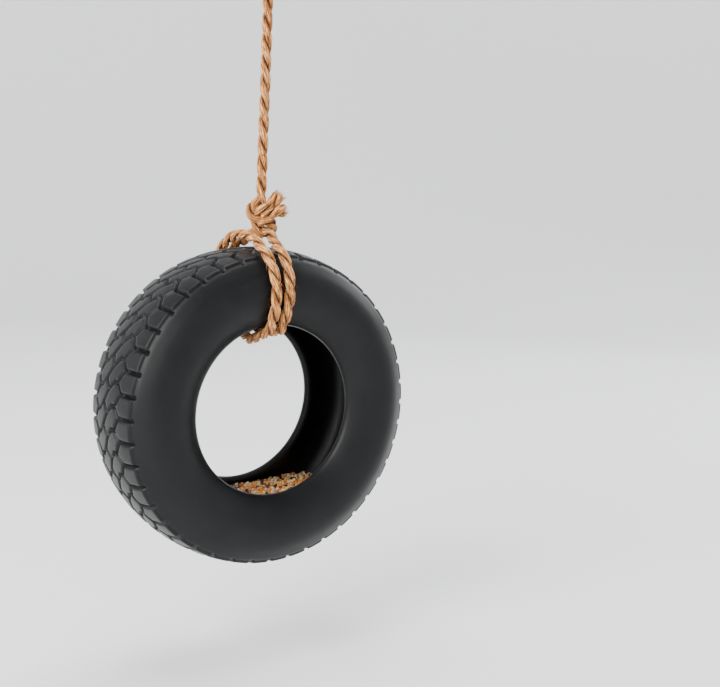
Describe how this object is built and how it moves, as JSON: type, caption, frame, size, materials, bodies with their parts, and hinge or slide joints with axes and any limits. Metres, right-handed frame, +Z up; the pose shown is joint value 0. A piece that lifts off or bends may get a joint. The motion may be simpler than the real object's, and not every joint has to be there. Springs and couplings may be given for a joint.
{
  "type": "tire swing bird feeder",
  "caption": "Small ceramic tire, open along its inner rim as a seed trough, slung on a twisted jute rope with a loop to hang it by.",
  "frame": {"origin": "the underside of the hanging loop's bow, where a hook or a branch carries it", "axes": "+Z up along the hanging rope, Y along the tire's axle, X across the tire"},
  "size_m": [0.165, 0.074, 0.3467],
  "materials": {
    "ceramic": "satin black glaze",
    "jute": "coarse twisted fibre",
    "seed": "loose seed"
  },
  "bodies": {
    "hanger": {"hang_loop": "jute", "hang_knot": "jute"},
    "rope_top": {"rope_stretch_1": "jute"},
    "rope_upper": {"rope_stretch_2": "jute"},
    "rope_lower": {"rope_stretch_3": "jute"},
    "rope_foot": {"rope_stretch_4": "jute"},
    "feeder": {"sling_knot": "jute", "rope_sling": "jute", "tire_tread": "ceramic", "tire_front_wall": "ceramic", "tire_back_wall": "ceramic", "bird_seed": "seed"}
  },
  "joints": [
    {"name": "swing_front_back", "type": "hinge", "parent": "hanger", "child": "rope_top", "pos_m": [0, 0, -0.053], "axis": [1, 0, 0], "range_deg": [-45, 45]},
    {"name": "swing_side", "type": "hinge", "parent": "rope_top", "child": "rope_upper", "pos_m": [0, 0, -0.063], "axis": [0, 1, 0], "range_deg": [-45, 45]},
    {"name": "rope_twist", "type": "hinge", "parent": "rope_upper", "child": "rope_lower", "pos_m": [0, 0, -0.101], "axis": [0, 0, 1], "range_deg": [-180, 180]},
    {"name": "rock_front_back", "type": "hinge", "parent": "rope_lower", "child": "rope_foot", "pos_m": [0, 0, -0.135], "axis": [1, 0, 0], "range_deg": [-25, 25]},
    {"name": "rock_side", "type": "hinge", "parent": "rope_foot", "child": "feeder", "pos_m": [0, 0, -0.145], "axis": [0, 1, 0], "range_deg": [-25, 25]}
  ]
}
